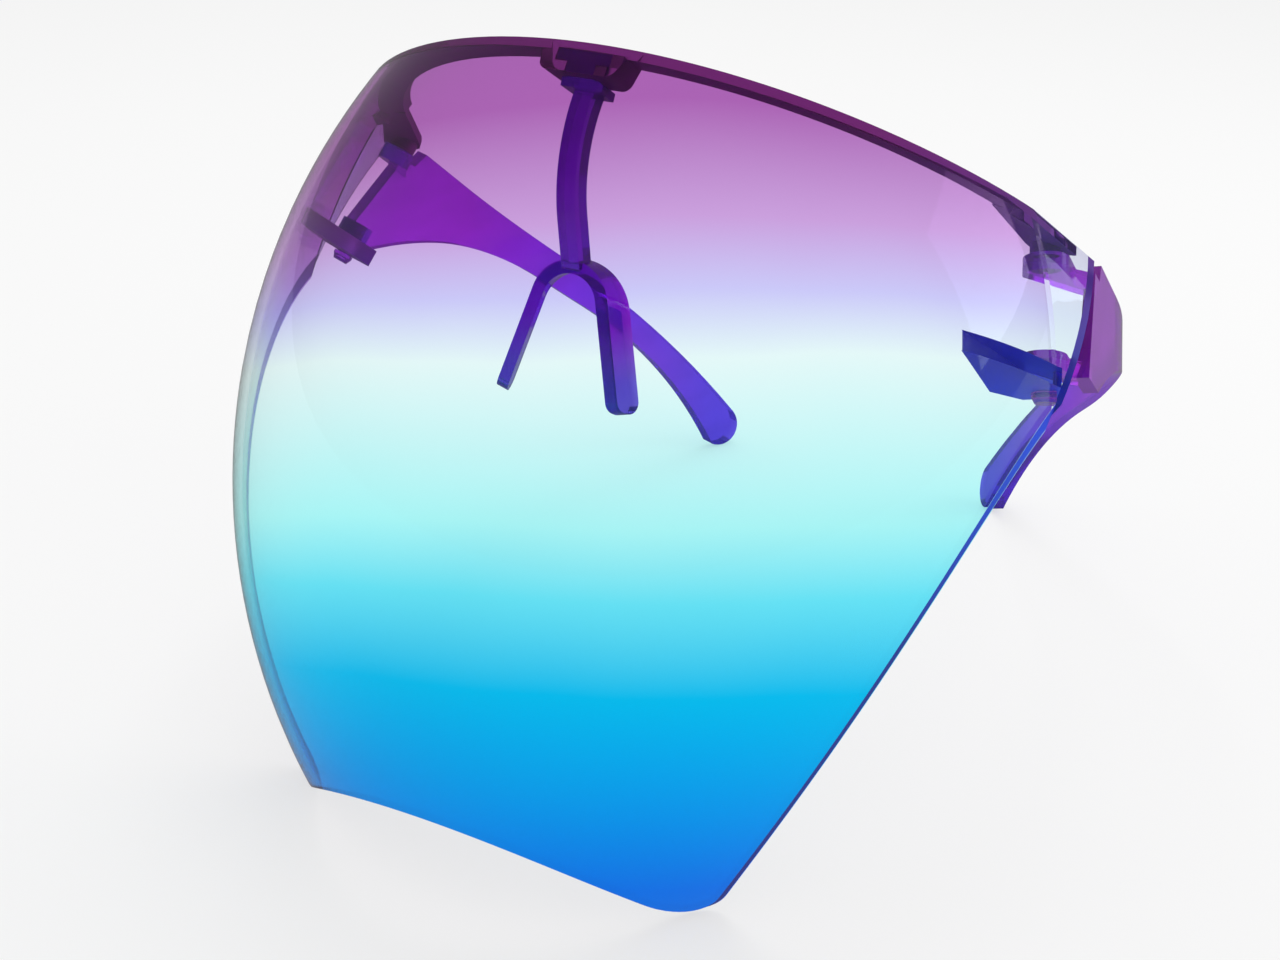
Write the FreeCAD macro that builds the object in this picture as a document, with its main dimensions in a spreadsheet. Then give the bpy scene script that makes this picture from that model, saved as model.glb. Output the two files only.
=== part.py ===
import FreeCAD, Part
import math
import os

import Sketcher
from FreeCAD import Placement, Rotation, Vector

# A full-face visor: one barrel-curved lens, a clip-in nose bridge and two folding temples.
# Each piece is drawn as the visor is worn, about the lens's own upright axis: the front faces -Y,
# +X is the wearer's left, +Z is up and the middle of the brow edge is at level 0. The last step leans
# the whole visor back until it stands on its two chin corners and its two temple tips.

# Driving sizes in millimetres and degrees.
SIZES = (
    # the lens and its outline
    ("brow_radius", 72.0, "outer radius of the lens at the brow"),
    ("bow_radius", 130.0, "radius of the lens seen from the side"),
    ("belly_drop", 57.5, "depth of the widest level below the brow"),
    ("lens_wall", 1.8, "wall of the lens"),
    ("lens_drop", 136.0, "brow to the middle of the chin edge"),
    ("brow_arch", 390.0, "radius of the brow edge seen from the front"),
    ("chin_arch", 115.0, "radius of the chin edge seen from the front"),
    ("chin_half_width", 42.8, "middle of the lens to a chin corner"),
    ("chin_corner", 9.0, "rounding of the chin corners"),
    ("cheek_radius", 285.0, "radius of the cheek edges seen from the front"),
    ("cheek_drop", 38.2, "brow to the top of the cheek edges"),
    # the flat side returns behind the creases
    ("crease_top_angle", 69.5, "turn from the front to the top of a crease"),
    ("crease_foot_angle", 75.0, "turn from the front to the foot of a crease"),
    ("return_flare", 28.0, "outward flare of a side return"),
    ("return_dip", 12.0, "downward slope of a side return's top edge"),
    ("return_run", 19.5, "length of a side return at its top"),
    ("return_foot_run", 1.5, "length of a side return at its foot"),
    # the brow ledge and the socket for the nose bridge
    ("ledge_depth", 6.5, "brow ledge, from the outside of the lens inwards"),
    ("ledge_thick", 2.0, "thickness of the brow ledge"),
    ("socket_width", 17.0, "width of the nose bridge socket at its top"),
    ("socket_taper", 1.8, "draw-in of each socket side at its foot"),
    ("socket_depth", 7.5, "socket, from the front of the brow backwards"),
    ("socket_height", 6.0, "height of the socket"),
    ("socket_round", 2.0, "rounding of the socket's lower corners"),
    ("socket_roof", 1.6, "thickness of the socket over the clip"),
    # the hinges
    ("pivot_top_drop", 10.0, "brow to the level where the upper pivot is set out"),
    ("pivot_setback_top", 10.3, "crease to the upper pivot, along the side return"),
    ("pivot_lean_in", 1.4, "upper pivot further inboard than the lower one"),
    ("pivot_setback_foot", 3.0, "crease to the lower pivot, along the side return"),
    ("ear_radius", 4.0, "rounding of a temple's ears about the pivot"),
    ("ear_thick", 3.3, "thickness of a temple's ears"),
    ("ear_span", 21.6, "outside faces of a temple's two ears"),
    ("hinge_gap", 0.4, "ear to the side return"),
    ("hinge_play", 0.2, "end play of a temple between its lugs"),
    ("peg_radius", 1.6, "radius of the pivot pegs"),
    ("peg_clearance", 0.05, "pivot peg to its hole, radial"),
    ("peg_head", 0.6, "swelling of the snap head beyond the peg"),
    ("boss_wall", 1.2, "wall of the boss under the upper lug"),
    ("lug_thick", 1.8, "thickness of the upper lug"),
    ("boss_height", 1.6, "length of the boss under the upper lug, at the pivot"),
    ("lug_front", 8.0, "thickened brow ledge ahead of the crease"),
    ("lug_step", 1.8, "thickening of the brow ledge ahead of the lug"),
    ("shelf_thick", 3.4, "thickness of the lower shelf"),
    ("shelf_reach", 9.0, "lower shelf inboard of the pivot"),
    ("shelf_front", 28.0, "lower shelf ahead of the crease"),
    # the nose bridge
    ("clip_half_width", 5.0, "half width of the clip's head"),
    ("clip_head", 2.2, "height of the clip's head"),
    ("clip_neck", 2.6, "half width of the clip's neck"),
    ("clip_length", 5.2, "length of the clip"),
    ("clip_proud", 1.5, "clip behind its socket"),
    ("clip_clearance", 0.15, "clip to its socket"),
    ("foot_half_width", 3.5, "half width of the plate under the socket"),
    ("foot_thick", 1.5, "thickness of the plate under the socket"),
    ("strut_width", 3.6, "width of the strut"),
    ("strut_depth", 4.2, "depth of the strut"),
    ("strut_level", 13.0, "brow to the most forward place of the strut"),
    ("strut_radius", 24.0, "forward bow of the strut"),
    ("strut_rise", 14.7, "turn of the strut up to its plate"),
    ("strut_turn", 38.0, "turn of the strut down to the fork"),
    ("strut_foot", 9.3, "straight stretch of the strut above the fork"),
    ("strut_setback", 5.9, "front of the brow to the middle of the strut"),
    ("fork_setback", 1.4, "fork behind the end of the strut"),
    ("fork_tilt", 14.0, "backward slope of the nose pads"),
    ("fork_splay", 15.0, "outward slope of the nose pads"),
    ("fork_radius", 5.35, "inner radius of the fork's arch at its front"),
    ("fork_flare", 2.3, "growth of the arch from front to back"),
    ("pad_thick", 2.4, "thickness of the nose pads"),
    ("pad_width", 5.0, "width of the nose pads"),
    ("pad_length", 19.4, "length of the nose pads below the arch"),
    ("pad_round", 2.2, "rounding of the nose pad ends"),
    # the temples
    ("temple_thick", 2.8, "thickness of a temple"),
    ("temple_offset", 6.6, "middle of a temple's straight front outboard of its pivot"),
    ("temple_bow", 116.0, "radius of a temple seen from above"),
    ("temple_bow_station", 38.0, "pivot to the end of a temple's straight front"),
    ("tail_heading", 30.0, "inward turn of a temple's tail"),
    ("temple_length", 150.0, "pivot to the tip"),
    ("temple_top", 14.6, "top edge of a temple above the middle of its hinge"),
    ("hook_station", 78.0, "pivot to where the top edge starts to fall"),
    ("hook_radius", 228.0, "curve of the ear hook's top edge"),
    ("bar_station", 82.0, "pivot to the front of the slim bar"),
    ("bar_end", 96.0, "pivot to the rear of the slim bar, where the ear hook starts"),
    ("bar_level", 6.8, "lower edge of the bar above the middle of its hinge"),
    ("lower_edge_radius", 136.0, "curve of a temple's lower edge under the panel"),
    ("hook_foot_radius", 96.9, "curve of the ear hook's lower edge"),
    ("panel_gap", 6.2, "rear edge of the side return to the panel's front edge"),
    ("panel_step", 17.0, "pivot to the upper front corner of the panel"),
    ("tip_round", 4.5, "rounding of a temple's tip"),
    ("ear_root", 6.0, "length of a temple's ears along the panel"),
)

# Working allowance: how far cutting shapes reach past what they cut.
OVERREACH = 4.0

doc = FreeCAD.newDocument("face_visor")
sizes = doc.addObject("Spreadsheet::Sheet", "sizes")
for row, (name, number, meaning) in enumerate(SIZES, start=1):
    sizes.set(f"A{row}", meaning)
    sizes.set(f"B{row}", str(number))
    sizes.setAlias(f"B{row}", name)
doc.recompute()


def size(name):
    """Value of one driving size."""
    return float(getattr(sizes, name))


def amount(expression):
    """Value of an expression of the driving sizes."""
    result = sizes.evalExpression(str(expression))
    return float(getattr(result, "Value", result))


# Sketches

FRONT = Rotation(Vector(1, 0, 0), Vector(0, 0, 1), Vector(0, -1, 0))


def bend_point(start, end, radius, side):
    """Middle of the arc that joins two corners and swells to one side (left is +1)."""
    chord = end - start
    half = chord.Length / 2
    left = Vector(-chord.y, chord.x, 0).normalize()
    return (start + end) / 2 + left * side * (radius - math.sqrt(radius ** 2 - half ** 2))


def bind(sketch, constraint, name, expression):
    """Add a named dimension and tie it to the driving sizes."""
    index = sketch.addConstraint(constraint)
    sketch.renameConstraint(index, name)
    sketch.setExpression(f"Constraints.{name}", str(expression))


def draw(sketch, outline, mark="corner"):
    """Draw a closed outline. A corner is (x, y), or (x, y, radius, side) if the next edge bends."""
    points = [Vector(amount(corner[0]), amount(corner[1]), 0) for corner in outline]
    ends = []
    for here, corner in enumerate(outline):
        start, end = points[here], points[(here + 1) % len(points)]
        if len(corner) == 4:
            middle = bend_point(start, end, amount(corner[2]), corner[3])
            edge = sketch.addGeometry(Part.Arc(start, middle, end), False)
        else:
            edge = sketch.addGeometry(Part.LineSegment(start, end), False)
        forward = (sketch.getPoint(edge, 1) - start).Length < (sketch.getPoint(edge, 2) - start).Length
        ends.append((edge, 1 if forward else 2, 2 if forward else 1))
    for here, corner in enumerate(outline):
        edge, first, last = ends[here]
        follower, follower_first, _ = ends[(here + 1) % len(ends)]
        sketch.addConstraint(Sketcher.Constraint("Coincident", edge, last, follower, follower_first))
        at = points[here]
        bind(sketch, Sketcher.Constraint("DistanceX", -1, 1, edge, first, at.x),
             f"{mark}_{here}_x", corner[0])
        bind(sketch, Sketcher.Constraint("DistanceY", -1, 1, edge, first, at.y),
             f"{mark}_{here}_y", corner[1])
        if len(corner) == 4:
            bind(sketch, Sketcher.Constraint("Radius", edge, amount(corner[2])),
                 f"{mark}_{here}_bend", corner[2])
    return sketch


def circle(sketch, radius):
    """Draw a circle about the sketch's origin."""
    edge = sketch.addGeometry(Part.Circle(Vector(), Vector(0, 0, 1), amount(radius)), False)
    sketch.addConstraint(Sketcher.Constraint("Coincident", edge, 3, -1, 1))
    bind(sketch, Sketcher.Constraint("Radius", edge, amount(radius)), "radius", radius)
    return sketch


def free_sketch(name, rotation, base=Vector()):
    """Sketch in a plane of its own."""
    sketch = doc.addObject("Sketcher::SketchObject", name)
    sketch.Placement = Placement(base, rotation)
    return sketch


def body_sketch(body, name, plane, offset=Placement()):
    """Sketch on one of a body's own origin planes."""
    sketch = body.newObject("Sketcher::SketchObject", name)
    support = next(item for item in body.Origin.OriginFeatures if item.Role == plane)
    sketch.AttachmentSupport = [(support, "")]
    sketch.MapMode = "FlatFace"
    sketch.AttachmentOffset = offset
    return sketch


# Part shapes

def extrude(name, sketch, direction, length):
    """Solid drawn along a direction."""
    solid = doc.addObject("Part::Extrusion", name)
    solid.Base = sketch
    solid.DirMode = "Custom"
    solid.Dir = direction
    solid.Solid = True
    solid.setExpression("LengthFwd", str(length))
    return solid


def turn(name, sketch):
    """Half turn about the upright axis, from one side round the front to the other."""
    solid = doc.addObject("Part::Revolution", name)
    solid.Source = sketch
    solid.Axis = Vector(0, 0, -1)
    solid.Angle = 180
    solid.Solid = True
    return solid


def combine(kind, name, shapes):
    """Fuse or intersect several shapes."""
    result = doc.addObject(kind, name)
    result.Shapes = shapes
    result.Refine = False
    return result


def cut(name, base, tool):
    """Base without the tool."""
    result = doc.addObject("Part::Cut", name)
    result.Base = base
    result.Tool = tool
    return result


def post(name, placement, radius, height):
    """Round post along the Z axis of a placement."""
    cylinder = doc.addObject("Part::Cylinder", name)
    cylinder.setExpression("Radius", radius)
    cylinder.setExpression("Height", height)
    cylinder.Placement = placement
    return cylinder


# The lens surface, in numbers

def lens_radius(level):
    """Outer radius of the lens at a level."""
    bow, belly = size("bow_radius"), size("belly_drop")
    swell = math.sqrt(bow ** 2 - (level + belly) ** 2) - math.sqrt(bow ** 2 - belly ** 2)
    return size("brow_radius") + swell


def lens_point(angle, level, inset=0.0):
    """Point of the lens at a turn from the front, in degrees."""
    radius = lens_radius(level) - inset
    return Vector(radius * math.sin(math.radians(angle)), -radius * math.cos(math.radians(angle)), level)


def brow_level(across):
    """Level of the brow edge at a distance from the middle."""
    return math.sqrt(size("brow_arch") ** 2 - across ** 2) - size("brow_arch")


def brow_point(angle):
    """Point where the brow edge crosses a turn from the front."""
    level = 0.0
    for _ in range(20):
        level = brow_level(lens_point(angle, level).x)
    return lens_point(angle, level)


crease_top = brow_point(size("crease_top_angle"))
crease_foot = lens_point(size("crease_foot_angle"), -size("cheek_drop"))
crease_slope = (crease_top.y - crease_foot.y) / (crease_top.z - crease_foot.z)
flare, dip = math.radians(size("return_flare")), math.radians(size("return_dip"))
return_level_way = Vector(math.sin(flare), math.cos(flare), 0)
return_inward = Vector(-math.cos(flare), math.sin(flare), 0)
return_way = return_level_way * math.cos(dip) - Vector(0, 0, math.sin(dip))
rear_top = crease_top + return_way * size("return_run")
rear_foot = crease_foot + return_way * size("return_foot_run")


def crease_point(level):
    """Point of the left crease at a level, on the outside of the lens."""
    back = crease_foot.y + (level - crease_foot.z) * crease_slope
    return Vector(math.sqrt(lens_radius(level) ** 2 - back ** 2), back, level)


# The left hinge's frame: its Z runs up the pivot, its Y points back along the temple and its X outboard.
# The upper lug lies in the plane of the side return's top edge, and the temple's ears hang below it

pivot_inset = size("lens_wall") + size("hinge_gap") + size("ear_radius")
pivot_foot = crease_foot + return_level_way * size("pivot_setback_foot") + return_inward * pivot_inset
pivot_top = (crease_point(-size("pivot_top_drop")) + return_level_way * size("pivot_setback_top")
             + return_inward * (pivot_inset + size("pivot_lean_in")))
pivot_way = (pivot_top - pivot_foot).normalize()
lug_down = return_inward.cross(return_way)
lug_pivot = pivot_foot + pivot_way * ((crease_top - pivot_foot).dot(lug_down) / pivot_way.dot(lug_down))
lug_height = (size("ear_span") / 2 + size("hinge_play") + size("boss_height")
              - size("lug_thick") / pivot_way.dot(lug_down))
hinge_middle = lug_pivot - pivot_way * lug_height
hinge_back = (Vector(0, 1, 0) - pivot_way * pivot_way.y).normalize()
hinge_out = hinge_back.cross(pivot_way)
left_hinge_place = Placement(hinge_middle, Rotation(hinge_out, hinge_back, pivot_way))


def mirrored(direction):
    """A direction or point on the other side of the visor."""
    return Vector(-direction.x, direction.y, direction.z)


right_hinge_place = Placement(
    mirrored(hinge_middle), Rotation(-mirrored(hinge_out), mirrored(hinge_back), mirrored(pivot_way)))


def wall_point(run, height):
    """Middle of the left wall at a height in the hinge frame.

    The run is measured from the crease: backwards along the side return, or forwards (negative)
    round the lens.
    """
    inset = size("lens_wall") / 2
    to_hinge = left_hinge_place.inverse()

    def at(level):
        if run >= 0:
            return crease_point(level) + return_level_way * run + return_inward * inset
        crease = crease_point(level)
        angle = math.degrees(math.atan2(crease.x, -crease.y) + run / lens_radius(level))
        return lens_point(angle, level, inset)

    low, high = -size("lens_drop") / 2, size("cheek_drop") / 2
    for _ in range(60):
        level = (low + high) / 2
        if to_hinge.multVec(at(level)).z < height:
            low = level
        else:
            high = level
    return to_hinge.multVec(at(level))


def radius_through(start, middle, end):
    """Radius of the arc through three points."""
    return Part.Arc(start, middle, end).toShape().Curve.Radius


# The shield

ARC_AXIS = "(sizes.brow_radius - sqrt(sizes.bow_radius^2 - sizes.belly_drop^2))"
SECTION_TOP = f"{OVERREACH}"
SECTION_FOOT = f"(-sizes.lens_drop - sizes.chin_half_width / 2 - {OVERREACH})"


def section_x(inset, level):
    """Radius of the lens section at a level, as an expression."""
    return f"{ARC_AXIS} + sqrt((sizes.bow_radius - {inset})^2 - ({level} + sizes.belly_drop)^2)"


def lens_band(name, outside, inside, foot=SECTION_FOOT):
    """Band of the lens between two insets from its outer face."""
    section = draw(free_sketch(f"{name}_section", FRONT), [
        (section_x(outside, foot), foot, f"sizes.bow_radius - {outside}", -1),
        (section_x(outside, SECTION_TOP), SECTION_TOP),
        (section_x(inside, SECTION_TOP), SECTION_TOP, f"sizes.bow_radius - {inside}", 1),
        (section_x(inside, foot), foot),
    ])
    return turn(name, section)


def half_space(name, point, slope):
    """Everything behind a plane that runs across the visor, leaning back by a slope per level."""
    reach = 4 * size("brow_radius")
    block = doc.addObject("Part::Box", name)
    block.Length = block.Height = 2 * reach
    block.Width = reach
    lean = Rotation(Vector(1, 0, 0), -math.degrees(math.atan(slope)))
    block.Placement = Placement(point + lean.multVec(Vector(-reach - point.x, 0, -reach)), lean)
    return block


def front_outline():
    """Outline of the lens seen from the front, drawn through the whole visor."""
    side = f"(sizes.brow_radius * 1.25 + {OVERREACH})"
    brow_end = f"sqrt(sizes.brow_arch^2 - {side}^2) - sizes.brow_arch"
    chin_z = "sqrt(sizes.chin_arch^2 - sizes.chin_half_width^2) - sizes.chin_arch - sizes.lens_drop"
    chin_x = "sizes.chin_half_width"
    cheek_x, cheek_z = str(crease_foot.x), "-sizes.cheek_drop"
    sketch = draw(free_sketch("front_outline", FRONT), [
        (f"-{side}", brow_end, "sizes.brow_arch", 1),
        (side, brow_end),
        (side, cheek_z),
        (cheek_x, cheek_z, "sizes.cheek_radius", 1),
        (chin_x, chin_z, "sizes.chin_arch", -1),
        (f"-{chin_x}", chin_z, "sizes.cheek_radius", 1),
        (f"-{cheek_x}", cheek_z),
        (f"-{side}", cheek_z),
    ])
    block = extrude("front_block", sketch, Vector(0, -1, 0), "sizes.brow_radius * 1.5")
    doc.recompute()
    corners = doc.addObject("Part::Fillet", "chin_corners")
    corners.Base = block
    corners.Edges = [
        (index, size("chin_corner"), size("chin_corner"))
        for index, edge in enumerate(block.Shape.Edges, start=1)
        if all(abs(abs(v.X) - size("chin_half_width")) < 1e-6 and v.Z < -size("lens_drop")
               for v in edge.Vertexes)
        and abs(edge.Vertexes[0].X - edge.Vertexes[-1].X) < 1e-6
    ]
    return corners


def side_return(lens):
    """Flat return behind the left crease, cut off along its slanting rear edge."""
    reach = 2 * size("brow_radius")
    plane = doc.addObject("Part::Plane", "crease_plane")
    plane.Length, plane.Width = reach, 2 * reach
    up = Vector(0, crease_slope, 1).normalize()
    plane.Placement = Placement(
        Vector(0, crease_foot.y, crease_foot.z) - up * reach, Rotation(Vector(1, 0, 0), up, Vector()))
    crease_face = combine("Part::MultiCommon", "crease_face", [lens, plane])
    panel = extrude("return_panel", crease_face, return_way, "sizes.return_run * 2")
    rear_slope = (rear_top.y - rear_foot.y) / (rear_top.z - rear_foot.z)
    return cut("side_return", panel, half_space("behind_return", rear_foot, rear_slope))


def hinge_plate(name, outline, height, thickness):
    """Plate square to the pivot, from a height in the hinge frame upwards."""
    base = left_hinge_place.multVec(Vector(0, 0, amount(height)))
    sketch = draw(free_sketch(name + "_outline", left_hinge_place.Rotation, base), outline)
    return extrude(name, sketch, pivot_way, thickness)


def pair(point):
    """A point's two coordinates, as an outline's corner."""
    return (str(point.x), str(point.y))


EAR_TOP = "(sizes.ear_span / 2)"
BOSS_FOOT = f"({EAR_TOP} + sizes.hinge_play)"
SHELF_TOP = "(-sizes.ear_span / 2 - sizes.hinge_play)"
SHELF_FOOT = f"({SHELF_TOP} - sizes.shelf_thick)"
BOSS_RADIUS = "(sizes.peg_radius + sizes.peg_clearance + sizes.boss_wall)"
BORE_RADIUS = "sizes.peg_radius + sizes.peg_clearance"


def upper_lug():
    """Plate behind the crease that carries the upper pivot, with its boss.

    It is drawn in the plane of the return's top edge: X inboard, Y back along that edge.
    """
    place = Placement(crease_top, Rotation(return_inward, return_way, lug_down))
    pivot = place.inverse().multVec(lug_pivot)
    wall, boss = size("lens_wall") / 2, amount(BOSS_RADIUS)
    crease_run = math.tan(flare)
    rear = pivot.y + boss
    depth = size("ledge_depth")
    lug = extrude("lug", draw(free_sketch("lug_outline", place.Rotation, crease_top), [
        (wall, -wall * crease_run - wall),
        (wall, rear),
        (pivot.x + boss / 2, rear),
        (pivot.x + boss, rear - boss / 2),
        (pivot.x + boss, pivot.y - boss / 2),
        (depth, -depth * crease_run - wall),
    ]), lug_down, "sizes.lug_thick")
    boss_place = left_hinge_place * Placement(Vector(0, 0, amount(BOSS_FOOT)), Rotation())
    rise = lug_height - amount(BOSS_FOOT) - size("lug_thick") / 2
    return [lug, post("boss", boss_place, BOSS_RADIUS, str(rise))]


def lower_shelf():
    """Shelf low on the wall that carries the lower pivot and stiffens the corner."""
    level = amount(SHELF_FOOT) + size("shelf_thick") / 2
    front = wall_point(-size("shelf_front"), level)
    middle = wall_point(-size("shelf_front") / 2, level)
    crease = wall_point(0, level)
    rear = wall_point(size("return_foot_run"), level)
    pad = size("ear_radius") + size("hinge_gap")
    return hinge_plate("shelf", [
        (*pair(front), radius_through(front, middle, crease), -1),
        pair(crease), pair(rear), (pad / 2, pad), (-pad, pad),
        ("-sizes.shelf_reach", -pad / 2),
    ], SHELF_FOOT, "sizes.shelf_thick")


def pivot_bores():
    """Holes for the pivot pegs, through the upper lug and the lower shelf."""
    upper = left_hinge_place * Placement(Vector(0, 0, amount(BOSS_FOOT) - OVERREACH / 2), Rotation())
    lower = left_hinge_place * Placement(Vector(0, 0, amount(SHELF_FOOT) - OVERREACH / 2), Rotation())
    return combine("Part::MultiFuse", "pivot_bores", [
        post("upper_bore", upper, BORE_RADIUS, str(lug_height - amount(BOSS_FOOT) + OVERREACH)),
        post("lower_bore", lower, BORE_RADIUS,
             f"sizes.shelf_thick + {OVERREACH / 2} + sizes.hinge_play / 2"),
    ])


SOCKET_BACK = "(sizes.brow_radius - sizes.socket_depth)"
CLIP_TOP = "(-sizes.socket_roof - sizes.clip_clearance)"
CLIP_FOOT = f"({CLIP_TOP} - sizes.clip_head)"


def nose_socket(core):
    """Keystone tray under the middle of the brow, and the slot that takes the nose bridge's clip."""
    half = "sizes.socket_width / 2"
    roof = "-sizes.ledge_thick / 4"
    foot = "-sizes.socket_height"
    back = Vector(0, -amount(SOCKET_BACK), 0)
    drop = "(sizes.socket_height - sizes.ledge_thick / 4)"
    side = f"sqrt(sizes.socket_taper^2 + {drop}^2)"
    tangent = f"(sizes.socket_round * ({side} - sizes.socket_taper) / {drop})"
    side_x = f"{half} - sizes.socket_taper * (1 - {tangent} / {side})"
    side_z = f"{foot} + {drop} * {tangent} / {side}"
    foot_x = f"{half} - sizes.socket_taper - {tangent}"
    tray = extrude("socket_tray", draw(free_sketch("tray_outline", FRONT, back), [
        (f"-({half})", roof),
        (f"-({side_x})", side_z, "sizes.socket_round", -1),
        (f"-({foot_x})", foot),
        (foot_x, foot, "sizes.socket_round", -1),
        (side_x, side_z),
        (half, roof),
    ]), Vector(0, -1, 0), "sizes.socket_depth * 2")
    head = "sizes.clip_half_width + sizes.clip_clearance"
    neck = "sizes.clip_neck + sizes.clip_clearance"
    shoulder = f"{CLIP_FOOT} - sizes.clip_clearance"
    below = f"{foot} - {OVERREACH}"
    slot_start = back + Vector(0, OVERREACH, 0)
    slot = extrude("clip_slot", draw(free_sketch("slot_outline", FRONT, slot_start), [
        (f"-({head})", "-sizes.socket_roof"),
        (f"-({head})", shoulder),
        (f"-({neck})", shoulder),
        (f"-({neck})", below),
        (neck, below),
        (neck, shoulder),
        (head, shoulder),
        (head, "-sizes.socket_roof"),
    ]), Vector(0, -1, 0), f"sizes.clip_length + sizes.clip_clearance + {OVERREACH}")
    return combine("Part::MultiCommon", "socket_block", [tray, core]), slot


def ledge_strip(name, start, thickness):
    """Strip below the brow edge seen from the front, from a distance across the visor to its side."""
    end = "(sizes.brow_radius * 1.2)"

    def edge(across):
        return f"sqrt(sizes.brow_arch^2 - {across}^2) - sizes.brow_arch"

    return extrude(name, draw(free_sketch(name + "_outline", FRONT), [
        (start, edge(start), "sizes.brow_arch", 1),
        (end, edge(end)),
        (end, f"{edge(end)} - {thickness}", "sizes.brow_arch", -1),
        (start, f"{edge(start)} - {thickness}"),
    ]), Vector(0, -1, 0), "sizes.brow_radius * 1.5")


def build_shield():
    """The one-piece lens with its brow ledge, side returns, hinge lugs and nose bridge socket."""
    wall = lens_band("lens_wall_band", "0", "sizes.lens_wall")
    outline = front_outline()
    trimmed = combine("Part::MultiCommon", "trimmed_lens", [wall, outline])
    behind_crease = half_space("behind_crease", crease_foot, crease_slope)
    lens = cut("front_lens", trimmed, behind_crease)
    half_wall = "sizes.lens_wall / 2"
    core = turn("lens_core", draw(free_sketch("core_section", FRONT), [
        ("0", SECTION_FOOT),
        (section_x(half_wall, SECTION_FOOT), SECTION_FOOT, f"sizes.bow_radius - {half_wall}", -1),
        (section_x(half_wall, SECTION_TOP), SECTION_TOP),
        ("0", SECTION_TOP),
    ]))
    ring = lens_band("ledge_ring", half_wall, "sizes.ledge_depth", "(-sizes.cheek_drop)")
    strip = ledge_strip("ledge_strip", "(-sizes.brow_radius * 1.2)", "sizes.ledge_thick")
    ledge = cut("brow_ledge", combine("Part::MultiCommon", "ledge_band", [ring, strip]), behind_crease)
    crease_turn = math.radians(size("crease_top_angle"))
    step_x = lens_point(math.degrees(crease_turn - size("lug_front") / crease_top.x), crease_top.z).x
    step = ledge_strip("step_strip", str(step_x), "(sizes.ledge_thick + sizes.lug_step)")
    lug_root = cut("lug_root", combine("Part::MultiCommon", "step_band", [ring, step]), behind_crease)
    furniture = [side_return(trimmed), lug_root, *upper_lug(), lower_shelf()]
    left = cut("left_hinge", combine("Part::MultiFuse", "left_furniture", furniture), pivot_bores())
    right = doc.addObject("Part::Mirroring", "right_hinge")
    right.Source = left
    right.Normal = Vector(1, 0, 0)
    socket, slot = nose_socket(core)
    front = combine("Part::MultiFuse", "lens_and_ledge", [lens, ledge, socket])
    half_hinged = combine("Part::MultiFuse", "lens_and_left_hinge", [front, left])
    hinged = combine("Part::MultiFuse", "lens_and_hinges", [half_hinged, right])
    return cut("shield", hinged, slot)


# The nose bridge

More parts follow.
